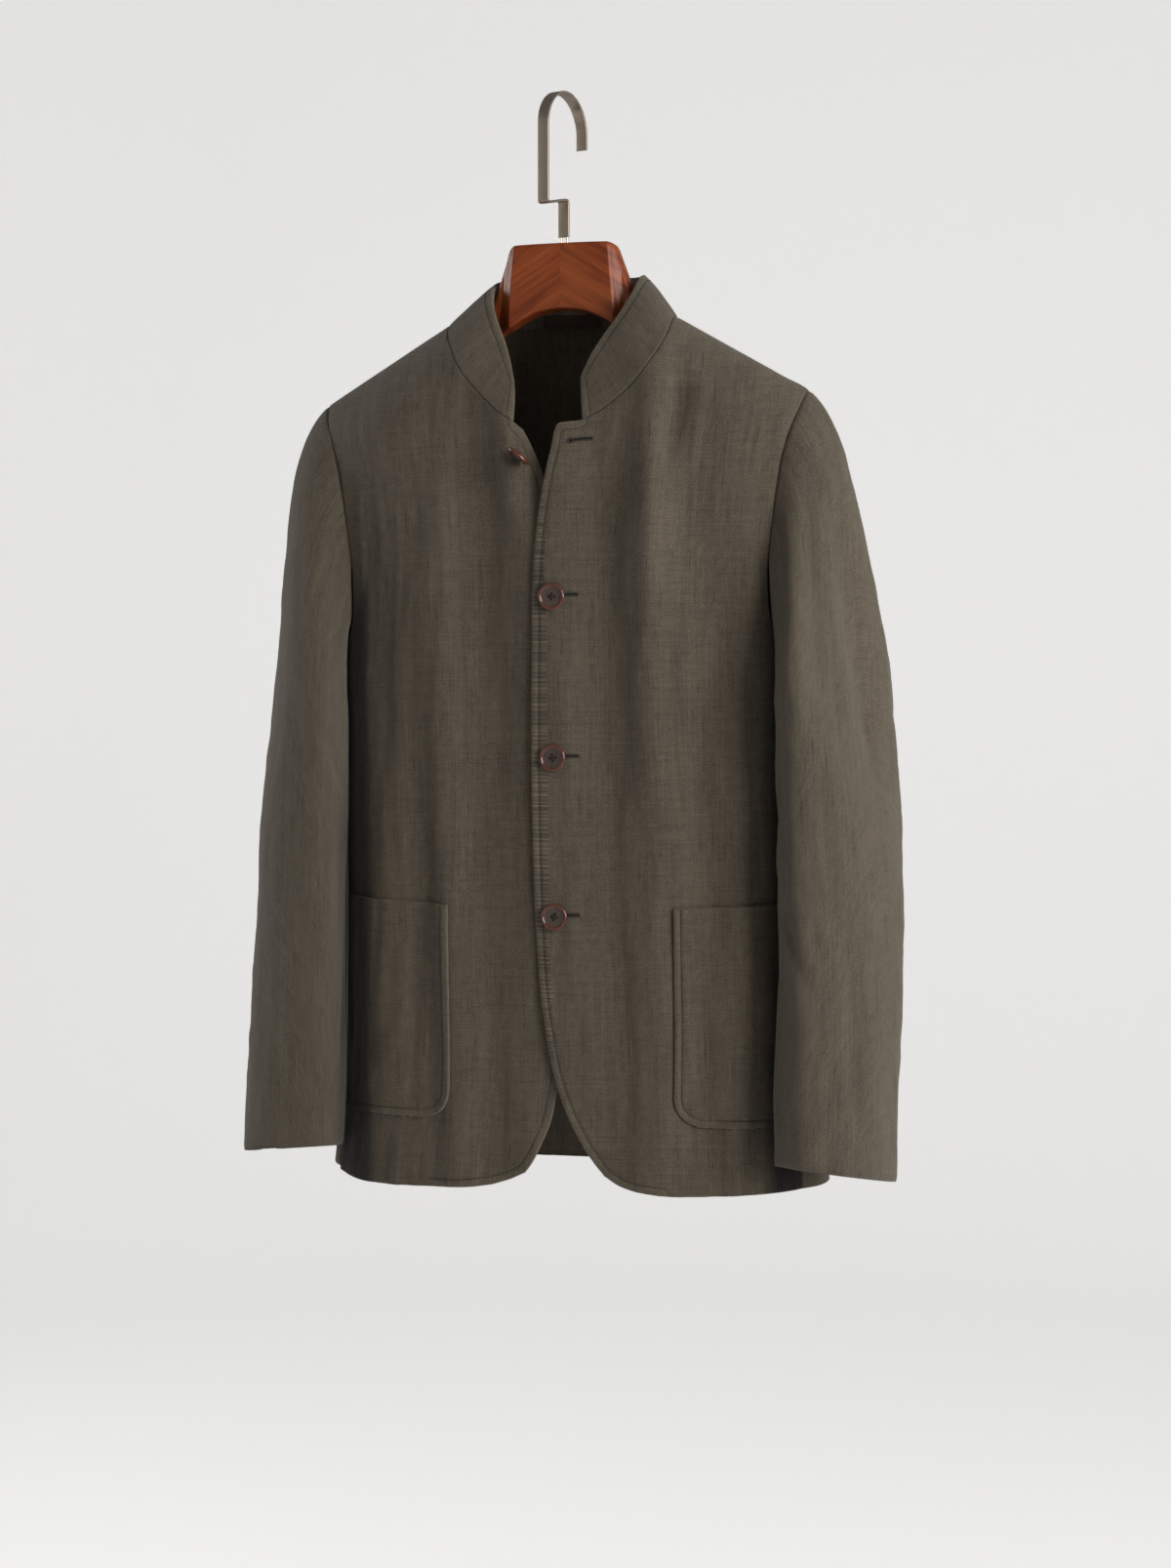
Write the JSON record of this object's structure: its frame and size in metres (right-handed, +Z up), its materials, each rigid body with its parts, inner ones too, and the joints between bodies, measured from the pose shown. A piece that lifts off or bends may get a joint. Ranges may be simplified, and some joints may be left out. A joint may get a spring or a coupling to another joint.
{
  "type": "linen jacket on hanger",
  "caption": "Unlined linen jacket with a stand collar and patch pockets, hung on an arched wooden hanger with a flat metal hook.",
  "frame": {"origin": "Inside of the hook's bend at its top, where the hanger hangs on a rod.", "axes": "+X the wearer's left, -Y the jacket's front, +Z up."},
  "size_m": [0.5712, 0.1708, 0.924],
  "materials": {
    "linen": "matte",
    "label": "matte",
    "horn": "gloss",
    "wood": "gloss",
    "hook_metal": "satin"
  },
  "bodies": {
    "root": {"front_left": "linen", "front_right": "linen", "back_left": "linen", "back_right": "linen", "top_sleeve_left": "linen", "top_sleeve_right": "linen", "under_sleeve_left": "linen", "under_sleeve_right": "linen", "collar": "linen", "pocket_left": "linen", "pocket_right": "linen", "neck_label": "label", "button_1": "horn", "button_2": "horn", "button_3": "horn", "button_4": "horn", "hanger_body": "wood", "hanger_hook": "hook_metal", "hook_pin_1": "hook_metal", "hook_pin_2": "hook_metal"}
  },
  "joints": []
}
